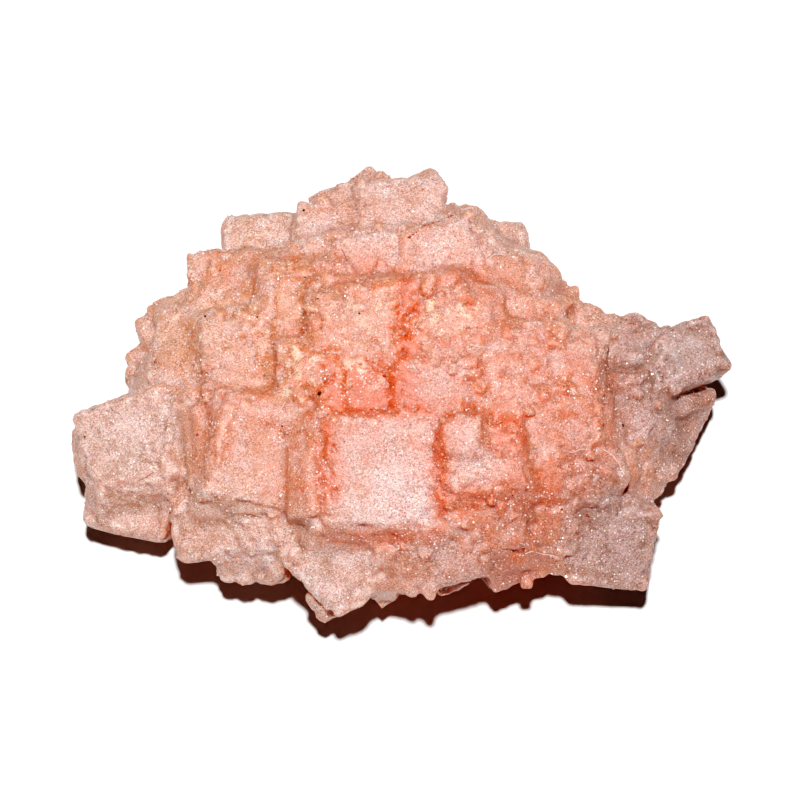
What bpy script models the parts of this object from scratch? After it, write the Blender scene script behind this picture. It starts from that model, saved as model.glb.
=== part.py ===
"""A pink halite cluster: cubes of rock salt that grew through one another into one lump.

Everything is in metres, +Z up. The lump rests on a flat cut at Z = 0, its long way runs along X,
and the origin is under the middle of its box. It is a single piece of mineral, so it is one object.
"""

import math
import random
from collections import namedtuple

import bmesh
import bpy
from mathutils import Matrix, Vector

MM = 0.001
SEED = 11
NAME = "halite_cluster"

# Habit of the crystals, as shares of a crystal's own size
TRAY_SHARE = 0.30  # half-width of the flat floor of a hopper face
TRAY_DEPTH = 0.035  # how far that floor lies under the rim
WOBBLE = 0.022  # how far a corner strays from the true cube

# Worn edges, on all but the smallest crystals (mm)
CHAMFER = 0.9 * MM
SHARP_UNDER = 6.5

# How far the upper face of the wider crystal lies below its own, as a share of the depth
SKIRT_DROP = (0.10, 0.20)

# The solid salt under the crystals: centre and half-axes of each lobe, in mm
LOBES = {
    "middle": ((0.0, -1.0, 12.0), (31.0, 21.0, 15.0)),
    "west": ((-26.0, -3.0, 10.0), (15.0, 13.0, 10.0)),
    "east": ((26.0, -5.0, 10.0), (15.0, 15.0, 12.0)),
    "north": ((0.0, 13.0, 11.0), (24.0, 13.0, 11.0)),
}

# Crystals that ring the foot of the lump and lean outwards
FOOT_COUNT = 24
FOOT_HALF_AXES = (35.0, 22.0)
FOOT_HEIGHT = (4.0, 10.0)
FOOT_SIZE = (7.5, 12.0)
FOOT_LEAN = (35.0, 70.0)

# Small steps on the edges of the large crystals, grown on and etched away
STEP_COUNT = 66
STEP_SIZE = (1.3, 3.0)
NOTCH_COUNT = 28
NOTCH_SIZE = (1.4, 3.4)

# One large crystal: where the middle of its upper face lies, its width, length and depth (mm),
# its heading about Z, how far that face leans towards +X and +Y (degrees), how much its edges
# draw in between the corners (0 for plain flat faces), how much wider the crystal under it is
# (0 where its sides are sheer), and how many ledges it carries.
Crystal = namedtuple("Crystal", "face size heading lean flare skirt ledges")

CRYSTALS = {
    # the high middle
    "keystone": Crystal((-2.9, -14.8, 30.0), (16.4, 16.4, 14.0), -2, (8, -14), 0, 0.06, 0),
    "button": Crystal((8.7, -10.1, 33.5), (5.8, 5.2, 6.0), 3, (-8, -8), 0, 0, 0),
    "step_block": Crystal((11.5, -13.2, 31.0), (10.4, 9.4, 10.0), 10, (2, -12), 0, 0.16, 1),
    "pale_tablet": Crystal((4.8, -2.7, 31.5), (10.2, 7.8, 9.0), 7, (0, -12), 0, 0.2, 1),
    "frosted": Crystal((-13.2, -0.5, 30.5), (7.2, 7.2, 8.0), -5, (-4, -12), 0, 0.3, 1),
    "ember": Crystal((-5.2, -1.8, 28.5), (9.5, 9.5, 8.0), 0, (0, -15), 0, 0.2, 0),
    "streaked": Crystal((-5.7, 6.4, 31.5), (12.4, 8.8, 10.0), 2, (0, -10), 0, 0.2, 1),
    "fern": Crystal((7.5, 7.9, 31.5), (11.5, 8.6, 10.0), -10, (4, -10), 0.03, 0.2, 2),
    "pebble": Crystal((-2.2, 10.8, 32.0), (4.6, 5.4, 6.0), 5, (0, -8), 0, 0, 0),
    "east_gap": Crystal((13.0, -0.2, 30.5), (7.0, 9.0, 8.0), 4, (4, -10), 0, 0.3, 1),
    "smooth_north": Crystal((23.2, 2.2, 29.0), (11.4, 7.8, 10.0), -5, (10, -6), 0, 0.2, 2),
    "smooth_south": Crystal((23.3, -7.6, 29.0), (10.4, 9.2, 10.0), -3, (10, -20), 0, 0.2, 1),
    "west_large": Crystal((-20.0, -11.7, 27.0), (15.2, 15.2, 13.0), -12, (12, -15), 0.02, 0.08, 1),
    "west_inner": Crystal((-15.8, 11.4, 28.0), (7.8, 9.8, 10.0), -3, (-4, -4), 0, 0.3, 2),
    "rib": Crystal((-10.2, 11.1, 29.5), (4.0, 8.0, 8.0), -8, (-3, -8), 0, 0.3, 1),
    # the north slope and its crown
    "wedge": Crystal((6.9, 18.9, 28.5), (10.5, 8.0, 9.0), 25, (0, 0), 0, 0.2, 1),
    "shoulder": Crystal((14.3, 16.2, 27.5), (12.0, 7.5, 9.0), -15, (8, 0), 0, 0.2, 2),
    "north_gap": Crystal((19.0, 8.7, 28.0), (9.0, 6.4, 8.0), -8, (6, -4), 0, 0.2, 1),
    "saddle": Crystal((-4.4, 17.9, 28.0), (9.5, 8.5, 9.0), 10, (0, 0), 0, 0.2, 1),
    "north_inner": Crystal((-14.8, 17.3, 25.0), (7.0, 6.0, 8.0), 12, (-4, 2), 0, 0.3, 1),
    "crown": Crystal((0.0, 27.7, 24.5), (12.8, 9.6, 12.0), 2, (2, 8), 0, 0, 0),
    "horn_west": Crystal((-4.5, 31.8, 22.5), (3.8, 4.6, 8.0), 38, (-6, 16), 0, 0, 0),
    "horn_east": Crystal((4.6, 31.5, 23.0), (3.8, 4.8, 8.0), 30, (8, 14), 0, 0, 0),
    "crown_west": Crystal((-9.3, 27.4, 22.0), (6.2, 8.0, 8.0), 20, (-5, 5), 0, 0, 0),
    "crown_east": Crystal((15.6, 23.0, 21.5), (7.4, 6.8, 9.0), 6, (10, 8), 0, 0, 0),
    "saddle_east": Crystal((9.4, 24.9, 22.5), (6.6, 5.6, 8.0), -26, (4, 6), 0, 0, 0),
    "post": Crystal((-12.7, 23.1, 23.0), (5.8, 10.0, 9.0), -5, (-4, 4), 0, 0, 0),
    "grey_shelf": Crystal((-21.4, 24.8, 19.5), (11.2, 6.6, 10.0), 2, (-5, 8), 0, 0, 0),
    # the east end
    "east_slope": Crystal((22.1, 16.5, 19.5), (10.4, 5.6, 9.0), -45, (18, 10), 0, 0, 1),
    "nub": Crystal((30.2, 11.0, 17.0), (6.2, 4.6, 7.0), -35, (15, 10), 0, 0, 0),
    "shelf": Crystal((36.2, 8.0, 19.0), (7.4, 7.0, 8.0), -35, (10, 0), 0, 0, 0),
    "fin": Crystal((43.4, 5.4, 21.0), (10.8, 9.6, 9.0), 24, (6, -6), 0.05, 0, 0),
    "rhomb": Crystal((34.2, -4.0, 20.5), (7.8, 8.4, 9.0), 20, (10, -24), 0, 0.16, 1),
    "wall": Crystal((41.2, -3.0, 12.5), (9.4, 16.6, 14.0), -28, (24, 0), 0, 0, 0),
    "wall_foot": Crystal((37.0, -9.5, 13.0), (8.0, 9.0, 12.0), -20, (18, -14), 0, 0, 0),
    "corner_cube": Crystal((32.0, -23.4, 18.0), (12.6, 13.4, 12.0), -10, (10, -24), 0.04, 0, 0),
    # the south edge, which hangs over the table
    "striated": Crystal((28.2, -15.1, 24.5), (7.0, 8.2, 9.0), -10, (14, -26), 0, 0.2, 1),
    "orange_gap": Crystal((20.2, -14.6, 27.0), (8.4, 6.4, 8.0), 0, (6, -22), 0, 0.2, 1),
    "orange_sill": Crystal((10.4, -19.3, 27.6), (11.0, 6.0, 8.0), 4, (0, -24), 0, 0.2, 1),
    "low_middle": Crystal((21.5, -21.5, 22.5), (7.6, 7.6, 9.0), -5, (5, -30), 0, 0.2, 1),
    "front_tablet": Crystal((13.3, -22.7, 25.2), (8.4, 6.4, 9.0), 12, (0, -28), 0, 0.1, 0),
    "toe": Crystal((15.5, -27.1, 17.5), (6.0, 5.4, 7.0), 30, (0, -38), 0, 0, 0),
    "toe_east": Crystal((20.8, -25.7, 18.0), (5.6, 4.8, 7.0), 8, (5, -35), 0, 0, 0),
    "front_mass": Crystal((-9.2, -26.9, 22.2), (12.6, 12.6, 12.0), 43, (-2, -26), 0.03, 0, 2),
    "front_slab": Crystal((5.1, -26.6, 23.3), (12.8, 8.8, 10.0), 17, (0, -30), 0, 0, 2),
    "front_fill": Crystal((-19.8, -21.6, 21.5), (8.0, 7.0, 10.0), -10, (-4, -22), 0, 0.2, 1),
    "round_toe": Crystal((-21.9, -25.0, 16.0), (10.6, 7.4, 9.0), 0, (-5, -25), 0, 0, 0),
    "west_toe": Crystal((-27.7, -21.0, 19.5), (12.6, 9.0, 10.0), 10, (-10, -20), 0, 0, 0),
    "beard_west": Crystal((-10.4, -31.2, 14.0), (5.4, 4.6, 8.0), 32, (-4, -40), 0, 0, 0),
    "beard": Crystal((-1.8, -28.5, 13.0), (5.4, 4.6, 8.0), 38, (0, -44), 0, 0, 0),
    "beard_east": Crystal((7.4, -27.6, 14.0), (5.6, 4.2, 8.0), 24, (2, -42), 0, 0, 0),
    # the west end
    "west_cube": Crystal((-40.3, -8.1, 20.0), (14.8, 14.6, 12.0), 17, (-12, -10), 0.03, 0, 0),
    "west_foot": Crystal((-40.7, -16.4, 13.8), (12.6, 8.0, 10.0), -12, (-5, -10), 0, 0, 0),
    "west_gap": Crystal((-30.6, -7.6, 22.0), (8.4, 11.0, 10.0), -12, (-10, -14), 0, 0.2, 1),
    "west_nook": Crystal((-29.8, -0.6, 22.0), (7.4, 7.0, 9.0), 8, (-12, -8), 0, 0.2, 0),
    "west_tall": Crystal((-33.0, 5.6, 22.0), (9.0, 12.4, 11.0), -10, (-15, 0), 0, 0, 1),
    "west_mid": Crystal((-24.6, 2.8, 26.0), (7.8, 11.2, 10.0), 5, (-6, -6), 0, 0.3, 2),
    "north_west": Crystal((-26.2, 17.1, 22.0), (9.6, 7.8, 10.0), 5, (-10, 6), 0, 0.08, 1),
    "west_brow": Crystal((-33.6, 12.4, 18.0), (7.8, 6.8, 9.0), 25, (-16, 6), 0, 0, 0),
    "west_cheek": Crystal((-37.1, 2.6, 17.0), (8.4, 7.4, 9.0), 15, (-18, 0), 0, 0, 0),
    "west_flake": Crystal((-46.2, -8.6, 14.5), (4.4, 6.4, 9.0), 4, (-10, -6), 0, 0, 0),
}


def clear_scene():
    """Removes every object of the open scene."""
    for obj in list(bpy.data.objects):
        bpy.data.objects.remove(obj)


def new_collection(name):
    made = bpy.data.collections.new(name)
    bpy.context.scene.collection.children.link(made)
    return made


def add_object(name, bm, collection, hidden=True):
    """Turns a bmesh into an object. A hidden one is a shape that another object is made from."""
    mesh = bpy.data.meshes.new(name)
    bmesh.ops.recalc_face_normals(bm, faces=bm.faces[:])
    bm.to_mesh(mesh)
    bm.free()
    obj = bpy.data.objects.new(name, mesh)
    collection.objects.link(obj)
    if hidden:
        obj.hide_render = True
        obj.display_type = "WIRE"
    return obj


def turned(lean, heading):
    """The rotation that leans an upright crystal towards +X and +Y after turning it about Z."""
    lean_x, lean_y = (math.radians(angle) for angle in lean)
    return (
        Matrix.Rotation(-lean_y, 4, "X")
        @ Matrix.Rotation(lean_x, 4, "Y")
        @ Matrix.Rotation(math.radians(heading), 4, "Z")
    )


def chamfer_edges(bm, width):
    sharp = [e for e in bm.edges if e.is_manifold and e.calc_face_angle() > math.radians(50)]
    bmesh.ops.bevel(
        bm, geom=sharp, offset=width, offset_type="OFFSET", segments=1, profile=0.5, affect="EDGES"
    )


def box_bmesh(size, centre=(0.0, 0.0, 0.0)):
    """A plain box of that size in mm, about its centre."""
    bm = bmesh.new()
    bmesh.ops.create_cube(bm, size=1)
    bmesh.ops.scale(bm, vec=Vector(size) * MM, verts=bm.verts)
    bmesh.ops.translate(bm, vec=Vector(centre) * MM, verts=bm.verts)
    return bm


def crystal_bmesh(size, flare, rng):
    """A crystal with the middle of its upper face at the origin. One with flare is a hopper: its
    corners keep the full size, its edges draw in between them, and its faces have sunken floors."""
    bm = bmesh.new()
    bmesh.ops.create_cube(bm, size=1)
    if flare:
        bmesh.ops.subdivide_edges(bm, edges=bm.edges[:], cuts=2, use_grid_fill=True)
    for vert in bm.verts:
        inner = [abs(c) < 0.4 for c in vert.co]
        draw_in = (0.0, flare, flare + TRAY_DEPTH)[sum(inner)]
        for axis, is_inner in enumerate(inner):
            side = math.copysign(1.0, vert.co[axis])
            vert.co[axis] = side * (TRAY_SHARE if is_inner else 0.5 * (1 - draw_in))
            vert.co[axis] += rng.uniform(-WOBBLE, WOBBLE)
    bmesh.ops.translate(bm, vec=(0, 0, -0.5), verts=bm.verts)
    bmesh.ops.scale(bm, vec=Vector(size) * MM, verts=bm.verts)
    if min(size) > SHARP_UNDER:
        chamfer_edges(bm, CHAMFER)
    return bm


def placed(crystal):
    """The place of a crystal: its own origin is the middle of its upper face."""
    return Matrix.Translation(Vector(crystal.face) * MM) @ turned(crystal.lean, crystal.heading)


def add_crystal(name, crystal, collection, rng):
    """A large crystal, the wider one under it, and the ledges that grew parallel to it."""
    obj = add_object(name, crystal_bmesh(crystal.size, crystal.flare, rng), collection)
    obj.matrix_world = placed(crystal)

    if crystal.skirt:
        drop = rng.uniform(*SKIRT_DROP) * crystal.size[2]
        skirt = [side * (1 + crystal.skirt) for side in crystal.size[:2]] + [crystal.size[2]]
        nudge = [rng.uniform(-0.05, 0.05) * side for side in skirt[:2]]
        bm = box_bmesh(skirt, (*nudge, -drop - 0.5 * skirt[2]))
        under = add_object(f"{name}_skirt", bm, collection)
        under.matrix_world = placed(crystal) @ Matrix.Rotation(rng.uniform(-0.1, 0.1), 4, "Z")

    for number in range(crystal.ledges):
        share = rng.uniform(0.34, 0.56)
        size = [side * share for side in crystal.size]
        ways = [rng.choice((-1, 1)), rng.choice((-1, 1))]
        centre = [
            way * (0.5 * side - 0.5 * part + rng.uniform(0.04, 0.09) * side)
            for way, side, part in zip(ways, crystal.size, size)
        ]
        centre.append(-0.5 * size[2] + rng.uniform(-0.22, 0.07) * crystal.size[2])
        bm = box_bmesh(size, centre)
        ledge = add_object(f"{name}_ledge_{number}", bm, collection)
        ledge.matrix_world = placed(crystal)


def add_lobes(collection):
    """The salt that fills the lump under its crystals, as rough balls."""
    for name, (centre, half_axes) in LOBES.items():
        bm = bmesh.new()
        bmesh.ops.create_icosphere(bm, subdivisions=1, radius=1.1)
        bmesh.ops.scale(bm, vec=Vector(half_axes) * MM, verts=bm.verts)
        obj = add_object(f"lobe_{name}", bm, collection)
        obj.location = Vector(centre) * MM


def add_foot_crystals(collection, rng):
    """A ring of crystals round the foot of the lump, each leaning outwards."""
    for number in range(FOOT_COUNT):
        angle = 2 * math.pi * (number + rng.uniform(-0.25, 0.25)) / FOOT_COUNT
        way = Vector((math.cos(angle), math.sin(angle)))
        size = [rng.uniform(*FOOT_SIZE) for _ in range(3)]
        lean = rng.uniform(*FOOT_LEAN)
        face = (way.x * FOOT_HALF_AXES[0], way.y * FOOT_HALF_AXES[1], rng.uniform(*FOOT_HEIGHT))
        bm = crystal_bmesh(size, 0, rng)
        obj = add_object(f"foot_{number:02d}", bm, collection)
        crystal = Crystal(face, size, rng.uniform(0, 90), (lean * way.x, lean * way.y), 0, 0, 0)
        obj.matrix_world = placed(crystal)


def add_steps(name, count, sizes, collection, rng):
    """Small boxes on the upper edges of the large crystals, each parallel to its crystal."""
    hosts = [crystal for crystal in CRYSTALS.values() if crystal.ledges]
    for number in range(count):
        host = rng.choice(hosts)
        side = rng.uniform(*sizes)
        size = [side * rng.uniform(0.7, 1.4) for _ in range(3)]
        spot = [rng.choice((-0.5, 0.5)), rng.uniform(-0.5, 0.5)]
        rng.shuffle(spot)
        centre = [share * length for share, length in zip(spot, host.size)]
        centre.append(rng.uniform(-0.46, -0.25) * size[2])
        obj = add_object(f"{name}_{number:02d}", box_bmesh(size, centre), collection)
        obj.matrix_world = placed(host)


def joined_lump(collection, shapes, cutters):
    """All the shapes as one closed solid, less the cutters."""
    heart = add_object(NAME, box_bmesh((30.0, 20.0, 12.0), (0.0, 0.0, 10.0)), collection, False)
    for label, operation, operands in (("grow", "UNION", shapes), ("cut", "DIFFERENCE", cutters)):
        step = heart.modifiers.new(label, "BOOLEAN")
        step.operation = operation
        step.operand_type = "COLLECTION"
        step.collection = operands
        step.solver = "EXACT"
    bpy.context.view_layer.update()
    graph = bpy.context.evaluated_depsgraph_get()
    mesh = bpy.data.meshes.new_from_object(heart.evaluated_get(graph))
    heart.modifiers.clear()
    heart.data = mesh
    return heart


def keep_outer_skin(obj):
    """Fills the hollows left between crystals and drops any chip that hangs loose."""
    bm = bmesh.new()
    bm.from_mesh(obj.data)
    waiting = set(bm.faces)
    skins = []
    while waiting:
        skin = {waiting.pop()}
        front = list(skin)
        while front:
            beside = {f for edge in front.pop().edges for f in edge.link_faces} & waiting
            waiting -= beside
            skin |= beside
            front += beside
        skins.append(skin)
    outer = max(skins, key=lambda skin: sum(face.calc_area() for face in skin))
    bmesh.ops.delete(bm, geom=[f for f in bm.faces if f not in outer], context="FACES")
    bm.to_mesh(obj.data)
    bm.free()


def centre_on_origin(obj):
    """Moves the shape so that the origin is under the middle of its box."""
    spots = [vert.co for vert in obj.data.vertices]
    low, high = (Vector(ends(co[axis] for co in spots) for axis in range(3)) for ends in (min, max))
    middle = (low + high) * 0.5
    obj.data.transform(Matrix.Translation((-middle.x, -middle.y, -low.z)))


def salt_material():
    made = bpy.data.materials.new("pink_halite")
    made.use_nodes = True
    shader = made.node_tree.nodes["Principled BSDF"]
    shader.inputs["Base Color"].default_value = (0.80, 0.42, 0.33, 1)
    shader.inputs["Roughness"].default_value = 0.45
    shader.inputs["IOR"].default_value = 1.544
    return made


def main():
    rng = random.Random(SEED)
    clear_scene()
    finished = new_collection(NAME)
    shapes = new_collection("crystal_shapes")
    cutters = new_collection("cutters")

    add_lobes(shapes)
    for name, crystal in CRYSTALS.items():
        add_crystal(name, crystal, shapes, rng)
    add_foot_crystals(shapes, rng)
    add_steps("step", STEP_COUNT, STEP_SIZE, shapes, rng)
    add_steps("notch", NOTCH_COUNT, NOTCH_SIZE, cutters, rng)
    add_object("table", box_bmesh((200.0, 200.0, 60.0), (0.0, 0.0, -30.0)), cutters)

    lump = joined_lump(finished, shapes, cutters)
    keep_outer_skin(lump)
    centre_on_origin(lump)
    lump.data.materials.clear()
    lump.data.materials.append(salt_material())


main()
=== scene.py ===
import math
import random

import bmesh
import bpy
import numpy as np
from mathutils import Euler, Matrix, Vector, kdtree, noise
from mathutils.bvhtree import BVHTree


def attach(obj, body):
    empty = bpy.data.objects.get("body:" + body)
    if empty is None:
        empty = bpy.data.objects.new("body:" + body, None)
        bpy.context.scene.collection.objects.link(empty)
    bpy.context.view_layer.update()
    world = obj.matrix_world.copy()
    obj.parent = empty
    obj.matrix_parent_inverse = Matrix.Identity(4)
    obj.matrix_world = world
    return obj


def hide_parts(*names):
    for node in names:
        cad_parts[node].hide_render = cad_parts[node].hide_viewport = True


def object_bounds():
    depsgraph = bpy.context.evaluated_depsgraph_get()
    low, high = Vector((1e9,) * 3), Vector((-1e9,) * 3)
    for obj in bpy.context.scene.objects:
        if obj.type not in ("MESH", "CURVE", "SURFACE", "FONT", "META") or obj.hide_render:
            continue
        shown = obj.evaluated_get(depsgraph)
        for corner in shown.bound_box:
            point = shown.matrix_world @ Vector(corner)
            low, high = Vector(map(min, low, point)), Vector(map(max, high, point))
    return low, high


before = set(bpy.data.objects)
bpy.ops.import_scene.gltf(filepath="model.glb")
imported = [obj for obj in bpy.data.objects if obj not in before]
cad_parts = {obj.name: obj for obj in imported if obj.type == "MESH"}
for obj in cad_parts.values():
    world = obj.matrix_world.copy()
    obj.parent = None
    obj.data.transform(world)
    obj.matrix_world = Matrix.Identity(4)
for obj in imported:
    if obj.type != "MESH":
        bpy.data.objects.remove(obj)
cad_box = [list(corner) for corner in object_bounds()]


# The lump itself: rock salt that grew as cubes through and over one another until they made one
# mass. It starts from the plain crystals, which the last brine in the cracks between them then
# filled with small cubes, and on whose faces it laid low square growth steps.
MM = 0.001
DOWN = Vector((0, 0, -1))
CRACK_CELL = 0.6 * MM  # how finely the lump is searched for cracks
CRACK_REACH = 5  # cells from a crack's middle to its wall, at the most
CRACK_LEFT = 0.10  # the share of a crack's depth that the fill leaves open
BANK_SLOPE = 2.3  # how steeply salt banked up against the foot of a wall
BANK_REACH = 3  # cells from the wall to the foot of its bank
BANK_RISE = 2.6 * MM  # the most that a bank raises the salt under it
BANK_FROM = 9 * MM  # no salt banked up lower than this
FOOT = 1.5 * MM  # below this the lump stays as its crystals are
FILL_LEAST = 0.25 * MM  # a crack shallower than this stays open
FILL_WIDTH = 1.2  # width of a fill's columns, in cells, so that they overlap
DEEP_FILL = 2 * MM  # a column deeper than this is left out where it would stand free
HELD_DROP = 1 * MM  # what holds it: 3 neighbours that are no lower than this under its top
ROOT = 0.8 * MM  # how far each cube reaches into the older salt
DEEP_FILLS = (  # top (mm), size (mm) and heading (degrees) of each block that closed a trench
    ((13.4, -24.4, 22.6), (5.0, 3.6, 6.0), 0),
    ((17.4, -23.8, 22.4), (4.4, 3.6, 6.0), 0),
    ((-15.9, -14.2, 27.8), (1.2, 14.6, 5.0), 0),
    ((-14.8, -14.2, 28.6), (1.2, 14.8, 5.0), 0),
    ((-13.8, -14.2, 29.4), (1.2, 15.0, 5.0), 0),
    ((-12.8, -14.2, 30.2), (1.4, 15.2, 5.0), 0),
    ((-29.2, -10.0, 25.4), (1.8, 12.0, 6.0), 6),
    ((-30.8, -10.0, 23.8), (1.8, 12.0, 6.0), 6),
    ((-5.0, -2.1, 30.4), (8.8, 8.2, 6.0), 0),
    ((-36.0, 9.4, 17.4), (6.4, 6.6, 9.0), 26),
    ((-37.8, 5.2, 15.4), (5.6, 6.0, 9.0), 32),
    ((-34.4, 12.6, 16.6), (5.6, 5.0, 9.0), 20),
)
SEAM_CUBES = 800
SEAM_ANGLE = math.radians(32)  # how sharply two faces meet at what counts as an edge or a seam
SEAM_WIDTH = (0.6 * MM, 1.6 * MM)
SEAM_OUT = 0.9  # how far out of its seam a cube's middle is, at the most (mm)
SEAM_LEAN, SEAM_TURN = 0.15, 0.3  # how unevenly those cubes lean and turn (radians)
STEPS = 3000
STEP_WIDTH = (0.9 * MM, 3.4 * MM)
STEP_RISE = (0.05 * MM, 0.19 * MM)
STEP_TURN = 0.06  # how unevenly they turn on their faces (radians)
STEP_FACE = 4 * MM * MM  # the smallest face that carries growth steps
OVERHANG = 0.3 * MM  # how far a growth step may stand out past its crystal's edge
BODY_GRAIN = 0.5 * MM  # how finely the body under the last growth is divided
BODY_WEAR = 3

chance = random.Random(29)
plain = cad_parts["halite_cluster"]
crystals = bmesh.new()
crystals.from_mesh(plain.data)
bmesh.ops.remove_doubles(crystals, verts=crystals.verts, dist=1e-6)
bmesh.ops.recalc_face_normals(crystals, faces=crystals.faces[:])
faces_whole = crystals.copy()
bmesh.ops.dissolve_limit(
    faces_whole, angle_limit=math.radians(1), verts=faces_whole.verts, edges=faces_whole.edges
)
faces_whole.faces.ensure_lookup_table()
block = BVHTree.FromBMesh(faces_whole)
fills = []  # the middle, the turn and the size of each column of salt that filled a crack
cubes = []  # the same, of each small cube that grew last


def lie_of(face):
    """The turn that lays a cube's sides along the face's longest edge and its top on the face."""
    edge = max(face.edges, key=lambda e: e.calc_length())
    along = (edge.verts[1].co - edge.verts[0].co).normalized()
    return Matrix((along, face.normal.cross(along), face.normal)).transposed()


def grow_cube(kept, spot, lie, size):
    """Keeps one small cube whose top middle is at spot."""
    middle = spot - lie @ Vector((0, 0, size[2] / 2))
    kept.append((middle, lie.to_euler(), size))


def widened(values, reach, pick):
    """Each value replaced by the most, or the least, of those round it."""
    for axis in (0, 1):
        shifted = [np.roll(values, shift, axis) for shift in range(-reach, reach + 1)]
        values = pick.reduce(shifted)
    return values


def banked(values):
    """The heights with salt banked up against each wall, at a steady slope."""
    made = values
    for i in range(-BANK_REACH, BANK_REACH + 1):
        for j in range(-BANK_REACH, BANK_REACH + 1):
            drop = BANK_SLOPE * CRACK_CELL * math.hypot(i, j)
            made = np.maximum(made, np.roll(values, (i, j), (0, 1)) - drop)
    return made


low, high = cad_box
across = np.arange(low[0] - 2 * MM, high[0] + 2 * MM, CRACK_CELL)
along = np.arange(low[1] - 2 * MM, high[1] + 2 * MM, CRACK_CELL)
under = [[block.ray_cast(Vector((x, y, 0.1)), DOWN) for y in along] for x in across]
heights = np.array([[hit[0].z if hit[0] else 0.0 for hit in row] for row in under])
closed = widened(widened(heights, CRACK_REACH, np.maximum), CRACK_REACH, np.minimum)
crack = np.where(heights > FOOT, closed - heights, 0.0)
bank = np.where(heights > BANK_FROM, np.minimum(banked(heights) - heights, BANK_RISE), 0.0)


def fill_cracks():
    """Columns of salt in the cracks and against the walls, and blocks in the deepest trenches."""
    upright = Matrix.Identity(3)
    for spot, size, heading in DEEP_FILLS:
        lie = Matrix.Rotation(math.radians(heading), 3, "Z")
        grow_cube(fills, Vector(spot) * MM, lie, Vector(size) * MM)
    fill = np.maximum(crack * (1 - CRACK_LEFT), bank)
    tops = heights + fill
    beside = [np.roll(tops, shift, axis) for shift in (-1, 1) for axis in (0, 1)]
    held = sum(top >= tops - HELD_DROP for top in beside) > 2
    wide = CRACK_CELL * FILL_WIDTH
    for i, j in np.argwhere((fill > FILL_LEAST) & (held | (fill < DEEP_FILL))):
        top = under[i][j][0] + Vector((0, 0, fill[i, j]))
        grow_cube(fills, top, upright, (wide, wide, fill[i, j] + ROOT))


def grow_along_seams():
    """Small cubes at the feet of the crystals' walls, as thick on the ground as the seams are."""
    inner = [e for e in crystals.edges if e.is_manifold and not e.is_convex]
    inner = [e for e in inner if e.calc_face_angle() > SEAM_ANGLE]
    for edge in chance.choices(inner, [e.calc_length() for e in inner], k=SEAM_CUBES):
        spot = edge.verts[0].co.lerp(edge.verts[1].co, chance.random())
        out = (edge.link_faces[0].normal + edge.link_faces[1].normal).normalized()
        if spot.z < FOOT or out.z < -0.3:
            continue
        lean = Euler([chance.gauss(0, SEAM_LEAN) for _ in range(2)] + [chance.gauss(0, SEAM_TURN)])
        width = chance.uniform(*SEAM_WIDTH)
        middle = spot + out * chance.uniform(0.0, SEAM_OUT) * MM
        lie = lean.to_matrix()
        grow_cube(cubes, middle + lie @ Vector((0, 0, width / 2)), lie, (width, width, width))


def lay_steps():
    """Low square steps, parallel to the face that they lie on and well inside it."""
    faces = [face for face in faces_whole.faces if face.calc_area() > STEP_FACE]
    areas = [face.calc_area() for face in faces]
    for face in chance.choices(faces, areas, k=STEPS):
        lie = lie_of(face)
        middle = face.calc_center_median()
        inside = [lie.transposed() @ (vert.co - middle) for vert in face.verts]
        u = chance.uniform(min(p.x for p in inside), max(p.x for p in inside))
        v = chance.uniform(min(p.y for p in inside), max(p.y for p in inside))
        spot = middle + lie @ Vector((u, v, 0))
        if spot.z < FOOT or block.find_nearest(spot)[2] != face.index:
            continue
        width, depth = chance.uniform(*STEP_WIDTH), chance.uniform(*STEP_WIDTH)
        rise = chance.uniform(*STEP_RISE)
        turned = lie @ Matrix.Rotation(chance.gauss(0, STEP_TURN), 3, "Z")
        corners = [Vector((a * width / 2, b * depth / 2, 0)) for a in (-1, 1) for b in (-1, 1)]
        if any(block.find_nearest(spot + turned @ corner)[3] > OVERHANG for corner in corners):
            continue
        grow_cube(cubes, spot + face.normal * rise, turned, (width, depth, rise + ROOT))


fill_cracks()
grow_along_seams()
lay_steps()


def settle(obj):
    """Gives the object the mesh that its modifiers make, and removes them."""
    graph = bpy.context.evaluated_depsgraph_get()
    made = bpy.data.meshes.new_from_object(obj.evaluated_get(graph))
    obj.modifiers.clear()
    obj.data = made


growth_tree = bpy.data.node_groups.new("salt_growth", "GeometryNodeTree")
growth_tree.interface.new_socket("Middles", in_out="INPUT", socket_type="NodeSocketGeometry")
older_input = growth_tree.interface.new_socket(
    "Older salt", in_out="INPUT", socket_type="NodeSocketObject"
)
growth_tree.interface.new_socket("Salt", in_out="OUTPUT", socket_type="NodeSocketGeometry")
given = growth_tree.nodes.new("NodeGroupInput").outputs
turn, size = (growth_tree.nodes.new("GeometryNodeInputNamedAttribute") for _ in range(2))
for carrier, label in ((turn, "turn"), (size, "size")):
    carrier.data_type = "FLOAT_VECTOR"
    carrier.inputs["Name"].default_value = label
small_cube = growth_tree.nodes.new("GeometryNodeMeshCube")
grown = growth_tree.nodes.new("GeometryNodeInstanceOnPoints")
real = growth_tree.nodes.new("GeometryNodeRealizeInstances")
older = growth_tree.nodes.new("GeometryNodeObjectInfo")
both = growth_tree.nodes.new("GeometryNodeJoinGeometry")
for start, end in (
    (given["Middles"], grown.inputs["Points"]),
    (small_cube.outputs["Mesh"], grown.inputs["Instance"]),
    (turn.outputs[0], grown.inputs["Rotation"]),
    (size.outputs[0], grown.inputs["Scale"]),
    (grown.outputs[0], real.inputs[0]),
    (given["Older salt"], older.inputs["Object"]),
    (real.outputs[0], both.inputs[0]),
    (older.outputs["Geometry"], both.inputs[0]),
    (both.outputs[0], growth_tree.nodes.new("NodeGroupOutput").inputs[0]),
):
    growth_tree.links.new(start, end)


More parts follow.
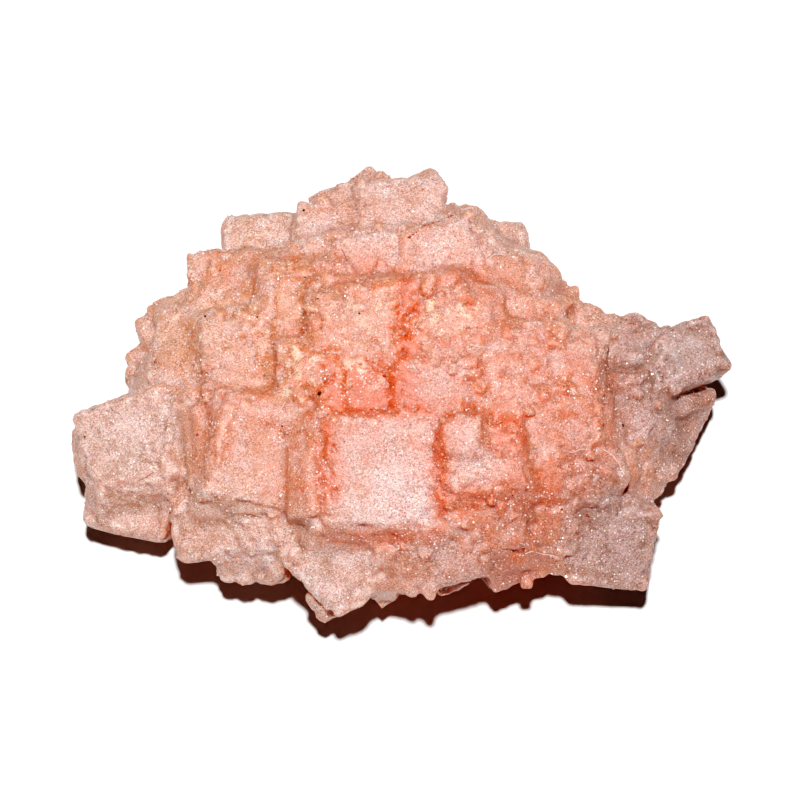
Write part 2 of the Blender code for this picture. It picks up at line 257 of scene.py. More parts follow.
def grown_over(name, older_salt, kept, grain, wear):
    """The older salt with the kept cubes grown on it, drawn over as one skin and worn."""
    middles = bpy.data.meshes.new(name)
    middles.from_pydata([middle for middle, _, _ in kept], [], [])
    for label, column in (("turn", 1), ("size", 2)):
        carried = middles.attributes.new(label, "FLOAT_VECTOR", "POINT")
        carried.data.foreach_set("vector", np.array([cube[column][:] for cube in kept]).ravel())
    obj = bpy.data.objects.new(name, middles)
    bpy.context.scene.collection.objects.link(obj)
    growing = obj.modifiers.new("growing", "NODES")
    growing.node_group = growth_tree
    growing[older_input.identifier] = older_salt
    settle(obj)
    divide = obj.modifiers.new("divide", "REMESH")
    divide.mode = "VOXEL"
    divide.voxel_size = grain
    smooth = obj.modifiers.new("wear", "SMOOTH")
    smooth.factor = 0.5
    smooth.iterations = wear
    settle(obj)
    return obj


crystal_mesh = bpy.data.meshes.new("crystals")
crystals.to_mesh(crystal_mesh)
bare_crystals = bpy.data.objects.new("crystals", crystal_mesh)
body = grown_over("body", bare_crystals, fills, BODY_GRAIN, BODY_WEAR)


# Brine then rounded the cubes' edges and etched their faces, so the skin is drawn as one over
# everything that grew, and is worn, pitted and roughened grain by grain.
GRAIN = 0.36 * MM  # how finely the skin is divided
MOST_TRIANGLES = 190_000
EDGE_STEP = 0.5 * MM
SWELL, SWELL_WAVE, SWELL_SIZE = 0.22, 0.10, 5.5  # growth all over: middle, change, width (mm)
LUMP, LUMP_SIZE = 0.06, 1.9  # height and width of the lumps (mm)
GRAIN_RISE, GRAIN_SIZE = 0.05, 0.9  # and of the grains (mm)
ROUGH_LEAST, ROUGH_MORE, ROUGH_SIZE = 0.35, 1.6, 4.0  # how much of them shows, and width (mm)
CRUMBLE, CRUMBLE_REACH, CRUMBLE_SIZE = 1.1, 1.6, 1.4  # depth, reach and width at the edges (mm)
CRUMBLE_MORE = 0.12  # above zero, more of each edge has crumbled than has not
RESTING = 1.2 * MM  # wear fades out below this, towards the flat base

skin = grown_over("salt_skin", body, cubes, GRAIN, 1)
bpy.data.objects.remove(body)


def edge_points(convex):
    """Points close together along the crystals' outer edges, or along their inner ones."""
    points = []
    for edge in crystals.edges:
        if not edge.is_manifold or edge.is_convex != convex:
            continue
        if edge.calc_face_angle() < SEAM_ANGLE:
            continue
        a, b = edge.verts
        count = max(1, round(edge.calc_length() / EDGE_STEP))
        points += [a.co.lerp(b.co, (i + 0.5) / count) for i in range(count)]
    tree = kdtree.KDTree(len(points))
    for number, point in enumerate(points):
        tree.insert(point, number)
    tree.balance()
    return tree


rims = edge_points(convex=True)
seams = edge_points(convex=False)


def worn(spot, to_rim):
    """How far etching moves the skin at this spot, outwards if above zero."""
    p = spot / MM
    swell = SWELL + noise.noise(p / SWELL_SIZE) * SWELL_WAVE
    rough = ROUGH_LEAST + max(0.0, noise.noise(p / ROUGH_SIZE + Vector((1, 6, 3)))) * ROUGH_MORE
    lumps = noise.noise(p / LUMP_SIZE + Vector((9, 4, 2))) * LUMP * rough
    grains = noise.noise(p / GRAIN_SIZE + Vector((3, 8, 1))) * GRAIN_RISE * rough
    weak = max(0.0, noise.noise(p / CRUMBLE_SIZE + Vector((5, 5, 7))) + CRUMBLE_MORE)
    crumbled = max(0.0, 1 - to_rim / CRUMBLE_REACH) * weak
    return (swell + lumps + grains - CRUMBLE * crumbled) * MM


def etch(obj):
    """Moves each point of the skin in or out by its wear, and none of them under the base."""
    verts = obj.data.vertices
    moved = np.empty((len(verts), 3))
    for vert in verts:
        to_rim = rims.find(vert.co)[2] / MM
        rest = min(1.0, vert.co.z / RESTING)
        spot = vert.co + vert.normal * worn(vert.co, to_rim) * rest
        moved[vert.index] = spot.x, spot.y, max(0.0, spot.z)
    verts.foreach_set("co", moved.ravel())
    obj.data.update()


etch(skin)
thin = skin.modifiers.new("thin", "DECIMATE")
skin.data.calc_loop_triangles()
thin.ratio = min(1.0, MOST_TRIANGLES / len(skin.data.loop_triangles))
settle(skin)


# Where the salt lies deep between crystals, light reaches it through more salt and the iron stain
# gathers, so each point of the skin carries how hollow its place is, how near an outer edge it is,
# and how near an inner seam. The colour paints that deeper glow and shade into the hollows.
WAYS = 24  # directions in which each point looks for salt near it
GOLDEN_TURN = 2.39996  # radians
LOOK_FROM = 0.15 * MM  # off the skin
LOOK_OUT = 4 * MM
FAR_LESS = 0.35  # how much less salt counts at the end of that look
FLATTEST = 0.1  # ways flatter to the skin than this are passed over
TOP_FROM, TOP_SPAN = 0.15, 0.4  # how far up a face looks where it starts to be a top
RIM_REACH = 1.1 * MM
SEAM_REACH = 1.0 * MM
CRACK_FULL = 2.0 * MM  # a crack this deep counts as wholly deep


def store(obj, name, values):
    """Puts one value a point on the mesh, for its material to read."""
    made = obj.data.attributes.new(name, "FLOAT", "POINT")
    made.data.foreach_set("value", np.asarray(values, np.float32))


def smoothed(obj, values, rounds):
    """The values, each time averaged with their neighbours' along the skin."""
    ends = np.empty(len(obj.data.edges) * 2, np.int32)
    obj.data.edges.foreach_get("vertices", ends)
    a, b = ends.reshape(-1, 2).T
    degree = np.bincount(a, minlength=len(values)) + np.bincount(b, minlength=len(values))
    for _ in range(rounds):
        total = np.bincount(a, values[b], len(values)) + np.bincount(b, values[a], len(values))
        values = 0.5 * values + 0.5 * total / np.maximum(degree, 1)
    return values


def shut_in(spot, normal):
    """The share of the half-space over this spot in which other salt stands close by."""
    start = spot + normal * LOOK_FROM
    shut = total = 0.0
    for way in ways:
        slant = way.dot(normal)
        if slant < FLATTEST:
            continue
        total += slant
        hit = surface.ray_cast(start, way, LOOK_OUT)[3]
        shut += 0.0 if hit is None else slant * (1 - FAR_LESS * hit / LOOK_OUT)
    return shut / max(total, 1e-9)


ways = []
for i in range(WAYS):
    z = 1 - 2 * (i + 0.5) / WAYS
    r = math.sqrt(1 - z * z)
    ways.append(Vector((math.cos(i * GOLDEN_TURN) * r, math.sin(i * GOLDEN_TURN) * r, z)))
surface = BVHTree.FromObject(skin, bpy.context.evaluated_depsgraph_get())
spots = [vert.co.copy() for vert in skin.data.vertices]
hollow = np.array([shut_in(vert.co, vert.normal) for vert in skin.data.vertices])
store(skin, "hollow", smoothed(skin, hollow, 3))
store(skin, "rim", [math.exp(-rims.find(spot)[2] / RIM_REACH) for spot in spots])
store(skin, "seam", [math.exp(-seams.find(spot)[2] / SEAM_REACH) for spot in spots])
cell_of = ((np.array(spots)[:, :2] - (across[0], along[0])) / CRACK_CELL).round().astype(int)
filled = np.clip(crack[cell_of[:, 0], cell_of[:, 1]] / CRACK_FULL, 0, 1)
store(skin, "crack", smoothed(skin, filled, 4))
face_tints = [chance.random() for _ in faces_whole.faces]
nearest = [block.find_nearest(spot) for spot in spots]
rise = np.array([vert.normal.z for vert in skin.data.vertices])
store(skin, "top", smoothed(skin, np.clip((rise - TOP_FROM) / TOP_SPAN, 0, 1), 2))
store(skin, "face_tint", smoothed(skin, np.array([face_tints[i] for _, _, i, _ in nearest]), 1))


# The colour comes from iron and the algae of the brine. It is a salmon pink nearly everywhere,
# deepest in the middle of the lump, and thins to grey in the clear cubes round its rim. The
# faces that dried last carry a bloom of white frost, in a square on each crystal. Over this
# lie painted light and shade: glow and shade in the hollows, light on the walls, and glints.
PATCHES_FROM = np.array((-0.4, -0.5, 0.0))  # where the places below are measured from (mm)
SQUARE_EDGE = 2.2  # how softly a square of frost ends (mm)
ROUND_FALL = 0.7  # how steeply an oval of stain thins out
FROST = [  # middle (mm), half sizes (mm), heading (degrees), strength
    (-1.7, -14.9, 7.0, 8.0, -2, 0.85),
    (0.4, -16.4, 4.8, 5.2, -2, 1.5),
    (8.6, -10.1, 2.7, 2.4, 3, 0.9),
    (11.2, -14.0, 4.4, 2.6, 8, 0.8),
    (4.8, -2.6, 4.8, 2.9, 7, 0.9),
    (-19.2, -11.0, 6.0, 6.4, -12, 0.35),
    (6.9, 19.2, 4.4, 3.4, 25, 0.5),
    (1.0, 27.6, 5.6, 4.2, 2, 0.5),
    (-12.7, 23.6, 2.2, 3.8, -5, 0.4),
    (-4.4, 18.4, 4.0, 3.6, 10, 0.45),
    (23.4, 2.6, 4.6, 2.8, -5, 0.35),
    (23.3, -7.4, 4.4, 3.6, -3, 0.35),
    (34.2, -4.0, 2.8, 3.6, 20, 0.55),
    (-41.5, -4.6, 6.0, 2.4, 17, 0.5),
    (-21.4, 24.6, 4.6, 2.2, 2, 0.4),
    (-25.0, 3.0, 3.0, 4.6, 5, 0.3),
    (-26.4, 17.4, 3.8, 2.8, 5, 0.3),
    (-9.0, -27.6, 4.6, 4.0, 43, 0.4),
    (32.4, -22.4, 4.8, 4.6, -10, 0.4),
    (5.4, -25.6, 4.6, 2.6, 17, 0.3),
    (-22.0, -25.5, 4.4, 2.6, 0, 0.45),
]
FERNS = [  # the same, where the frost grew in branching ferns
    (-14.0, -0.4, 3.2, 4.4, -5, 1.0),
    (-5.6, 6.4, 5.4, 3.8, 2, 0.6),
    (7.2, 8.2, 4.6, 3.6, -10, 0.9),
    (-5.4, -0.6, 3.2, 2.4, 0, 0.9),
    (-6.0, 8.4, 4.0, 1.6, 0, 0.6),
]
EMBER = [  # middle (mm), radii (mm), strength
    (-4.4, -3.0, 7.6, 4.4, 1.6),
    (-10.6, -14.5, 2.0, 8.5, 0.9),
    (-1.0, -5.6, 6.0, 1.6, 1.2),
    (0.9, 7.0, 1.9, 7.0, 1.5),
    (-3.0, -23.9, 10.0, 1.5, 0.8),
    (5.7, -15.5, 1.3, 8.5, 1.2),
    (11.5, -18.9, 8.0, 2.2, 0.7),
    (15.5, -9.0, 3.5, 6.0, 0.8),
    (7.0, -6.8, 7.0, 2.0, 0.7),
    (21.0, -18.0, 8.0, 6.0, 0.6),
    (12.0, -19.0, 7.0, 4.0, 0.5),
    (-12.0, 2.0, 5.0, 7.0, 0.6),
    (-8.0, 15.0, 8.0, 4.0, 0.55),
    (-22.0, 18.0, 9.0, 5.0, 0.35),
    (10.0, 13.0, 7.0, 5.0, 0.5),
    (27.0, -12.0, 5.0, 6.0, 0.55),
    (-27.0, -6.0, 4.0, 9.0, 0.35),
    (-15.0, -14.0, 5.0, 7.0, 0.35),
    (14.0, -26.0, 9.0, 3.5, 0.4),
    (0.0, -28.0, 6.0, 2.6, 0.35),
    (0.0, 0.0, 24.0, 17.0, 0.45),
    (24.0, -3.0, 9.0, 10.0, 0.5),
    (29.5, -4.0, 3.0, 7.0, 0.6),
    (34.0, -12.0, 5.0, 4.5, 0.25),
    (-9.5, -1.5, 3.0, 6.0, 0.9),
]
TAN = [  # where the stain is more yellow, as EMBER
    (-24.0, 12.0, 13.0, 14.0, 0.6),
    (-14.0, 4.0, 10.0, 12.0, 0.5),
    (-20.0, -10.0, 10.0, 9.0, 0.3),
    (-4.0, 8.0, 9.0, 6.0, 0.5),
]
CLEAR = [  # middle (mm), radii (mm), strength
    (-41.0, -6.5, 9.0, 9.0, 0.9),
    (-42.0, -15.5, 9.0, 6.0, 0.75),
    (-28.0, -21.0, 8.0, 5.0, 0.6),
    (-21.5, -25.0, 8.0, 6.0, 0.7),
    (-9.5, -27.0, 9.5, 7.0, 0.75),
    (5.0, -27.0, 8.0, 4.0, 0.5),
    (32.0, -22.0, 8.5, 8.5, 1.0),
    (42.0, 6.0, 9.5, 7.5, 1.0),
    (42.0, -4.0, 7.0, 10.0, 0.7),
    (33.5, -4.0, 5.0, 6.0, 0.4),
    (34.0, 9.0, 7.0, 6.0, 0.6),
    (-21.5, 26.0, 8.0, 5.0, 0.6),
    (1.0, 30.0, 12.0, 5.5, 0.45),
    (18.0, 23.0, 8.0, 5.0, 0.45),
    (-37.0, 4.0, 5.0, 8.0, 0.3),
]
SMOKE = [  # where the salt is dark with what lies under it, as CLEAR
    (42.5, 6.2, 9.5, 7.0, 1.8),
    (35.0, 0.5, 5.5, 7.5, 0.9),
    (42.5, -4.0, 6.0, 9.0, 1.0),
    (32.0, -22.5, 8.5, 9.0, 1.0),
    (19.0, -22.5, 6.0, 5.0, 0.45),
    (14.5, -28.5, 6.0, 4.0, 0.6),
    (27.5, -14.0, 4.0, 5.0, 0.4),
    (6.0, -26.5, 6.0, 4.0, 0.4),
]

place = np.array(spots) / MM - PATCHES_FROM


def square_field(patches):
    """Soft-edged squares on the lump, as one value a point."""
    field = np.zeros(len(place))
    for x, y, half_x, half_y, heading, strength in patches:
        turn = math.radians(heading)
        across, along = place[:, 0] - x, place[:, 1] - y
        u = abs(across * math.cos(turn) + along * math.sin(turn)) - half_x
        v = abs(along * math.cos(turn) - across * math.sin(turn)) - half_y
        inside = np.clip(0.5 - np.maximum(u, v) / SQUARE_EDGE, 0, 1)
        field = np.maximum(field, strength * inside)
    return field


def round_field(patches):
    """Soft-edged ovals on the lump, as one value a point."""
    field = np.zeros(len(place))
    for x, y, radius_x, radius_y, strength in patches:
        far = ((place[:, 0] - x) / radius_x) ** 2 + ((place[:, 1] - y) / radius_y) ** 2
        field = np.maximum(field, strength * np.exp(-ROUND_FALL * far * far))
    return field


for name, field, rounds in (
    ("frost", square_field(FROST), 2),
    ("fern", square_field(FERNS), 2),
    ("ember", round_field(EMBER), 8),
    ("tan", round_field(TAN), 12),
    ("clear", round_field(CLEAR), 12),
    ("smoke", round_field(SMOKE), 12),
):
    store(skin, name, smoothed(skin, field, rounds))


class Finish:
    """Short calls for the nodes of one material."""

    def __init__(self, name):
        self.material = bpy.data.materials.new(name)
        self.material.use_nodes = True
        self.tree = self.material.node_tree
        self.surface = self.tree.nodes["Principled BSDF"]

    def feed(self, socket, value):
        if isinstance(value, bpy.types.NodeSocket):
            self.tree.links.new(value, socket)
        else:
            socket.default_value = value

    def node(self, kind, settings=None, **inputs):
        made = self.tree.nodes.new(kind)
        for key, value in (settings or {}).items():
            setattr(made, key, value)
        for key, value in inputs.items():
            self.feed(made.inputs[key.replace("_", " ")], value)
        return made

    def carried(self, name):
        """The value that the mesh carries under this name."""
        return self.node("ShaderNodeAttribute", {"attribute_name": name}).outputs["Fac"]

    def math(self, operation, *values):
        made = self.node("ShaderNodeMath", {"operation": operation})
        for socket, value in zip(made.inputs, values):
            self.feed(socket, value)
        return made.outputs[0]

    def times(self, a, b):
        return self.math("MULTIPLY", a, b)

    def plus(self, a, share, b):
        """a times share, and b."""
        return self.math("MULTIPLY_ADD", a, share, b)

    def spots(self):
        return self.node("ShaderNodeTexCoord").outputs["Object"]

    def colour(self, value):
        self.feed(self.surface.inputs["Base Color"], value)

    def noise(self, size_mm, detail=2.0, rough=0.5, shift=0.0):
        moved = self.node("ShaderNodeMapping", Vector=self.spots(), Location=(shift, 0, 0))
        made = self.node(
            "ShaderNodeTexNoise",
            Vector=moved.outputs[0],
            Scale=1000 / size_mm,
            Detail=detail,
            Roughness=rough,
        )
        return made.outputs["Fac"]

    def cells(self, size_mm):
        """(a random value for each grain, the distance from the grain's middle)"""
        made = self.node("ShaderNodeTexVoronoi", Vector=self.spots(), Scale=1000 / size_mm)
        parts = self.node("ShaderNodeSeparateColor", Color=made.outputs["Color"])
        return parts.outputs[0], made.outputs["Distance"]

    def between(self, value, low, high):
        """0 where the value is at low, 1 where it is at high."""
        return self.node("ShaderNodeMapRange", Value=value, From_Min=low, From_Max=high).outputs[0]

    def mix(self, share, under, over, blend="MIX"):
        made = self.node("ShaderNodeMix", {"data_type": "RGBA", "blend_type": blend})
        for number, value in ((0, share), (6, under), (7, over)):
            self.feed(made.inputs[number], value)
        return made.outputs[2]


SALMON = (0.62, 0.245, 0.150, 1)
ROSE = (0.63, 0.305, 0.225, 1)
DEEP_ORANGE = (0.63, 0.118, 0.045, 1)
GREY_PINK = (0.42, 0.240, 0.180, 1)
PALE_GREY = (0.62, 0.42, 0.35, 1)
FROST_ROSE = (0.66, 0.33, 0.27, 1)
FROST_WHITE = (0.84, 0.63, 0.60, 1)
FERN_WHITE = (0.82, 0.54, 0.38, 1)
RUST = (0.30, 0.025, 0.010, 1)
# painted highlight: the white of the glints and sparks
PAINTED_GLINT = (0.97, 0.90, 0.86, 1)
GRIME = (0.22, 0.060, 0.040, 1)
BROWN_SPECK = (0.52, 0.30, 0.24, 1)  # this one and those below multiply the colour under them
SAND_DARK = (0.52, 0.47, 0.45, 1)
SAND_LIGHT = (1.42, 1.46, 1.48, 1)
# painted light: steep walls made lighter in red and less blue
PAINTED_WALL_LIGHT = (1.14, 1.01, 0.92, 1)
TAN_CAST = (1.0, 1.10, 0.90, 1)
TAN_SHADE = (0.89, 0.80, 0.73, 1)
SMOKY = (0.68, 0.63, 0.64, 1)
SALT_BEND = 1.544  # how strongly halite bends light
GLOW_REACH = 3.5 * MM  # how far red light spreads inside the salt
GLOW_TINT = (1.0, 0.5, 0.35)  # the share of that reach which red, green and blue light go
RELIEF = 0.15 * MM  # height of the finest relief
RELIEF_STRENGTH = 0.8

salt = Finish("pink_halite")
rim = salt.carried("rim")
top = salt.carried("top")
frost = salt.carried("frost")
cloud = salt.noise(6.0, 3, 0.6)
mottle = salt.noise(2.4, 5, 0.62)
patch = salt.noise(3.6, 6, 0.66, shift=4.4)
speck = salt.noise(0.28, 3, 0.8)
fleck = salt.noise(0.9, 5, 0.75, shift=7.7)
hollow = salt.between(salt.carried("hollow"), 0.30, 0.75)
here_and_there = salt.between(salt.noise(4.5, 3, 0.6, shift=1.3), 0.40, 0.58)
seam = salt.math("MAXIMUM", salt.carried("seam"), salt.times(salt.carried("crack"), 0.4))
seam = salt.times(seam, here_and_there)

# The stain: rose or salmon in clouds, and orange where it lies thick. In the hollows the orange
# is deepened partly by stain and partly as painted glow and shade; on the steep walls it is
# deepened as painted light coming through the salt.
ember = salt.times(salt.carried("ember"), salt.plus(salt.between(mottle, 0.3, 0.6), 0.4, 0.8))
stain = salt.plus(salt.between(mottle, 0.35, 0.65), 0.6, salt.times(ember, 1.2))
# painted glow and shade, with stain: hollows take more orange
stain = salt.plus(hollow, 0.25, stain)
stain = salt.plus(seam, 0.1, stain)
# painted light: steep walls take more orange than tops
stain = salt.plus(top, -0.18, salt.math("ADD", stain, 0.12))
tone = salt.plus(salt.carried("face_tint"), 0.5, salt.between(cloud, 0.25, 0.75))
colour = salt.mix(salt.times(tone, 0.7), SALMON, ROSE)
stained = salt.math("MAXIMUM", salt.between(stain, 0.35, 1.55), salt.times(ember, 0.62))
colour = salt.mix(stained, colour, DEEP_ORANGE)

# The clear cubes are grey, with white veins; then come the yellower stain and the painted
# light on the walls, warmer and lighter in red as if lit through the salt.
pale = salt.mix(salt.between(mottle, 0.35, 0.65), GREY_PINK, PALE_GREY)
veins = salt.math("ABSOLUTE", salt.plus(salt.noise(3.4, 4, 0.6, shift=8.8), 1.0, -0.5))
pale = salt.mix(salt.times(salt.between(veins, 0.035, 0.0), 0.55), pale, FROST_WHITE)
share = salt.times(salt.carried("clear"), salt.plus(salt.carried("ember"), -0.7, 1.0))
colour = salt.mix(share, colour, pale)
colour = salt.mix(salt.carried("tan"), colour, TAN_CAST, "MULTIPLY")
shade = salt.between(salt.noise(4.2, 4, 0.65, shift=6.1), 0.36, 0.60)
colour = salt.mix(salt.plus(shade, -0.55, 0.55), colour, TAN_SHADE, "MULTIPLY")
# painted light: steep walls made lighter in red and less blue, as if lit through the salt
colour = salt.mix(salt.plus(top, -1.0, 1.0), colour, PAINTED_WALL_LIGHT, "MULTIPLY")

# The frost: a bloom of grains, thin where the stain is thick, then the ferns and the edges.
grain_tint, _ = salt.cells(0.22)
bare = salt.between(ember, 0.9, 0.1)
bloom = salt.between(salt.plus(frost, 0.22, patch), 0.47, 0.66)
bloom = salt.times(bloom, salt.plus(top, 0.8, 0.2))
bloom = salt.times(bloom, salt.plus(bare, 0.8, 0.2))
grainy = salt.plus(salt.between(patch, 0.40, 0.62), 0.45, salt.times(grain_tint, 0.75))
frosting = salt.mix(grainy, FROST_ROSE, FROST_WHITE)
colour = salt.mix(salt.times(bloom, salt.plus(frost, 0.45, 0.42)), colour, frosting)
fern = salt.times(salt.between(salt.noise(1.8, 6, 0.78), 0.525, 0.565), salt.carried("fern"))
colour = salt.mix(salt.times(fern, 0.85), colour, FERN_WHITE)
edging = salt.times(salt.between(rim, 0.45, 0.95), salt.between(mottle, 0.40, 0.55))
edging = salt.times(edging, salt.plus(bare, 0.8, 0.2))
colour = salt.mix(salt.times(edging, 0.45), colour, FROST_WHITE)

# The grain of the skin: dark and light specks, thick in some places and thin in others.
busy = salt.plus(salt.between(salt.noise(2.8, 4, 0.6, shift=5.5), 0.40, 0.60), 0.75, 0.25)
busy = salt.times(busy, salt.plus(bare, 0.6, 0.4))
dark_speck = salt.times(salt.between(speck, 0.50, 0.32), busy)
colour = salt.mix(salt.times(dark_speck, 0.2), colour, BROWN_SPECK, "MULTIPLY")
dark_grain = salt.times(salt.between(grain_tint, 0.13, 0.02), salt.plus(busy, 0.4, 0.05))
colour = salt.mix(dark_grain, colour, BROWN_SPECK, "MULTIPLY")
light_speck = salt.times(salt.between(speck, 0.52, 0.68), busy)
light_grain = salt.times(salt.between(grain_tint, 0.84, 0.94), busy)
lighter = salt.math("MAXIMUM", light_speck, light_grain)
colour = salt.mix(salt.times(lighter, 0.40), colour, FROST_WHITE)

# Painted glints: white flecks in clusters standing in for light off small broken faces, and
# painted sparks over the smoke of the darker cubes.
cluster = salt.plus(salt.between(salt.noise(3.0, 3, 0.6, shift=2.2), 0.45, 0.62), 0.75, 0.25)
fine_fleck = salt.noise(0.34, 3, 0.8, shift=9.3)
fine_flecks = salt.between(fine_fleck, 0.635, 0.68)
flecks = salt.math("MAXIMUM", salt.between(fleck, 0.62, 0.67), fine_flecks)
colour = salt.mix(salt.times(salt.times(flecks, cluster), 0.85), colour, PAINTED_GLINT)
colour = salt.mix(salt.carried("smoke"), colour, SMOKY, "MULTIPLY")
spark_tint, spark_reach = salt.cells(0.38)
spark_dot = salt.between(spark_reach, 0.38, 0.18)
spark = salt.times(salt.between(spark_tint, 0.62, 0.90), spark_dot)
drift = salt.between(salt.noise(2.6, 4, 0.65, shift=3.9), 0.46, 0.60)
sparks = salt.plus(drift, 1.1, salt.plus(salt.carried("clear"), 0.25, 0.12))
colour = salt.mix(salt.times(spark, sparks), colour, PAINTED_GLINT)

# What is dark: grime between the sparks, rust in the seams and dust everywhere.
grime = salt.times(salt.between(spark_tint, 0.13, 0.05), spark_dot)
grimy = salt.plus(salt.between(salt.noise(3.3, 4, 0.65, shift=7.1), 0.46, 0.60), 0.8, 0.08)
colour = salt.mix(salt.times(grime, grimy), colour, GRIME)
sand_tint, _ = salt.cells(0.14)
sand = salt.mix(sand_tint, SAND_DARK, SAND_LIGHT)
colour = salt.mix(salt.plus(busy, 0.4, 0.6), colour, sand, "MULTIPLY")
rust = salt.times(salt.between(salt.noise(1.5, 5, 0.8), 0.60, 0.66), salt.between(seam, 0.3, 0.75))
colour = salt.mix(salt.times(rust, 0.8), colour, RUST)
dust_tint, dust_reach = salt.cells(0.95)
dust = salt.times(salt.between(dust_tint, 0.88, 0.90), salt.between(dust_reach, 0.15, 0.10))
colour = salt.mix(salt.times(dust, 0.75), colour, RUST)
salt.colour(colour)

gloss = salt.plus(bloom, 0.35, salt.plus(mottle, 0.3, 0.22))
salt.feed(salt.surface.inputs["Roughness"], gloss)
salt.surface.inputs["IOR"].default_value = SALT_BEND
salt.surface.inputs["Subsurface Weight"].default_value = 1.0
salt.surface.inputs["Subsurface Radius"].default_value = GLOW_TINT
salt.surface.inputs["Subsurface Scale"].default_value = GLOW_REACH
relief = salt.plus(fleck, 0.15, salt.times(speck, salt.plus(bloom, 0.6, 0.6)))
bump = salt.node("ShaderNodeBump", Height=relief, Strength=RELIEF_STRENGTH, Distance=RELIEF)
salt.feed(salt.surface.inputs["Normal"], bump.outputs[0])

skin.data.materials.clear()
skin.data.materials.append(salt.material)
skin.data.shade_smooth()
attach(skin, "root")
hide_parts("halite_cluster")
plain.data.materials.clear()
plain.data.materials.append(salt.material)


# Sugar: loose-looking grains of salt, each a cube a fraction of a millimetre across, that grew on
# the skin at every angle. They are the same salt, some of them white with frost.
SUGAR_GRAINS = 11000
SUGAR_SIZE = (0.08 * MM, 0.25 * MM)
SUGAR_FROM = 1.2 * MM  # no sugar grew lower than this
FULL_TURN = 6.283
SUGAR_SEAM, SUGAR_RIM = 0.9 * MM, 0.8 * MM  # how far it reached from a seam and from an edge
SEAM_SHARE, RIM_SHARE = 0.8, 0.25  # how thickly it grew there
DRIFT_SHARE, DRIFT_LESS, DRIFT_SIZE = 1.4, 0.15, 3.1  # how thickly in drifts: by, less, width (mm)
LEAST_SHARE = 0.01
SUGAR_PINK = (0.58, 0.26, 0.18, 1)
SUGAR_WHITE = (0.86, 0.66, 0.59, 1)


class Scatter:
    """A Geometry Nodes tree that grows one small shape all over the skin."""

    def __init__(self, name, shape_kind):
        self.tree = bpy.data.node_groups.new(name, "GeometryNodeTree")
        sockets = self.tree.interface
        sockets.new_socket("Skin", in_out="INPUT", socket_type="NodeSocketGeometry")
        self.inputs = {}
        for label, kind in (
            ("Most per square metre", "NodeSocketFloat"),
            ("Least size", "NodeSocketFloat"),
            ("Most size", "NodeSocketFloat"),
            ("Seed", "NodeSocketInt"),
            ("Finish", "NodeSocketMaterial"),
        ):
            made = sockets.new_socket(label, in_out="INPUT", socket_type=kind)
            self.inputs[label] = made.identifier
        sockets.new_socket("Grains", in_out="OUTPUT", socket_type="NodeSocketGeometry")
        given = self.tree.nodes.new("NodeGroupInput").outputs
        thick = self.node("GeometryNodeInputNamedAttribute")
        crowd = self.node("ShaderNodeMath")
        spread = self.node("GeometryNodeDistributePointsOnFaces")
        kept = self.node("GeometryNodeDeleteGeometry")
        place = self.node("GeometryNodeInputPosition")
        parts = self.node("ShaderNodeSeparateXYZ")
        low = self.node("FunctionNodeCompare")
        shape = self.node(shape_kind)
        size = self.node("FunctionNodeRandomValue")
        turn = self.node("FunctionNodeRandomValue")
        grown = self.node("GeometryNodeInstanceOnPoints")
        tint = self.node("FunctionNodeRandomValue")
        tinted = self.node("GeometryNodeStoreNamedAttribute")
        real = self.node("GeometryNodeRealizeInstances")
        finish = self.node("GeometryNodeSetMaterial")
        thick.data_type = "FLOAT"
        thick.inputs["Name"].default_value = "sugary"
        crowd.operation = "MULTIPLY"
        low.data_type = "FLOAT"
        low.operation = "LESS_THAN"
        low.inputs["B"].default_value = SUGAR_FROM
        turn.data_type = "FLOAT_VECTOR"
        turn.inputs["Max"].default_value = (FULL_TURN, FULL_TURN, FULL_TURN)
        tinted.data_type = "FLOAT"
        tinted.domain = "INSTANCE"
        tinted.inputs["Name"].default_value = "tint"
        for start, end in (
            (given["Skin"], spread.inputs["Mesh"]),
            (given["Most per square metre"], crowd.inputs[0]),
            (thick.outputs[0], crowd.inputs[1]),
            (crowd.outputs[0], spread.inputs["Density"]),
            (given["Seed"], spread.inputs["Seed"]),
            (spread.outputs["Points"], kept.inputs["Geometry"]),
            (place.outputs[0], parts.inputs[0]),
            (parts.outputs["Z"], low.inputs["A"]),
            (low.outputs[0], kept.inputs["Selection"]),
            (kept.outputs[0], grown.inputs["Points"]),
            (shape.outputs["Mesh"], grown.inputs["Instance"]),
            (given["Least size"], size.inputs[2]),
            (given["Most size"], size.inputs[3]),
            (given["Seed"], size.inputs["Seed"]),
            (size.outputs[1], grown.inputs["Scale"]),
            (turn.outputs[0], grown.inputs["Rotation"]),
            (grown.outputs[0], tinted.inputs["Geometry"]),
            (tint.outputs[1], tinted.inputs["Value"]),
            (tinted.outputs[0], real.inputs[0]),
            (real.outputs[0], finish.inputs["Geometry"]),
            (given["Finish"], finish.inputs["Material"]),
        ):
            self.tree.links.new(start, end)
        self.tree.links.new(finish.outputs[0], self.tree.nodes.new("NodeGroupOutput").inputs[0])

    def node(self, kind):
        return self.tree.nodes.new(kind)

    def grow(self, name, **values):
        """A plain mesh of the grains, as an object that stands apart from the skin."""
        grains = bpy.data.objects.new(name, skin.data)
        bpy.context.scene.collection.objects.link(grains)
        modifier = grains.modifiers.new("scatter", "NODES")
        modifier.node_group = self.tree
        for label, value in values.items():
            modifier[self.inputs[label.replace("_", " ")]] = value
        settle(grains)
        return grains


crumb = Finish("white_sugar")
tint = crumb.carried("tint")
crumb.colour(crumb.mix(crumb.between(tint, 0.35, 1.0), SUGAR_PINK, SUGAR_WHITE))
crumb.feed(crumb.surface.inputs["Roughness"], crumb.plus(tint, 0.3, 0.15))
crumb.surface.inputs["IOR"].default_value = SALT_BEND


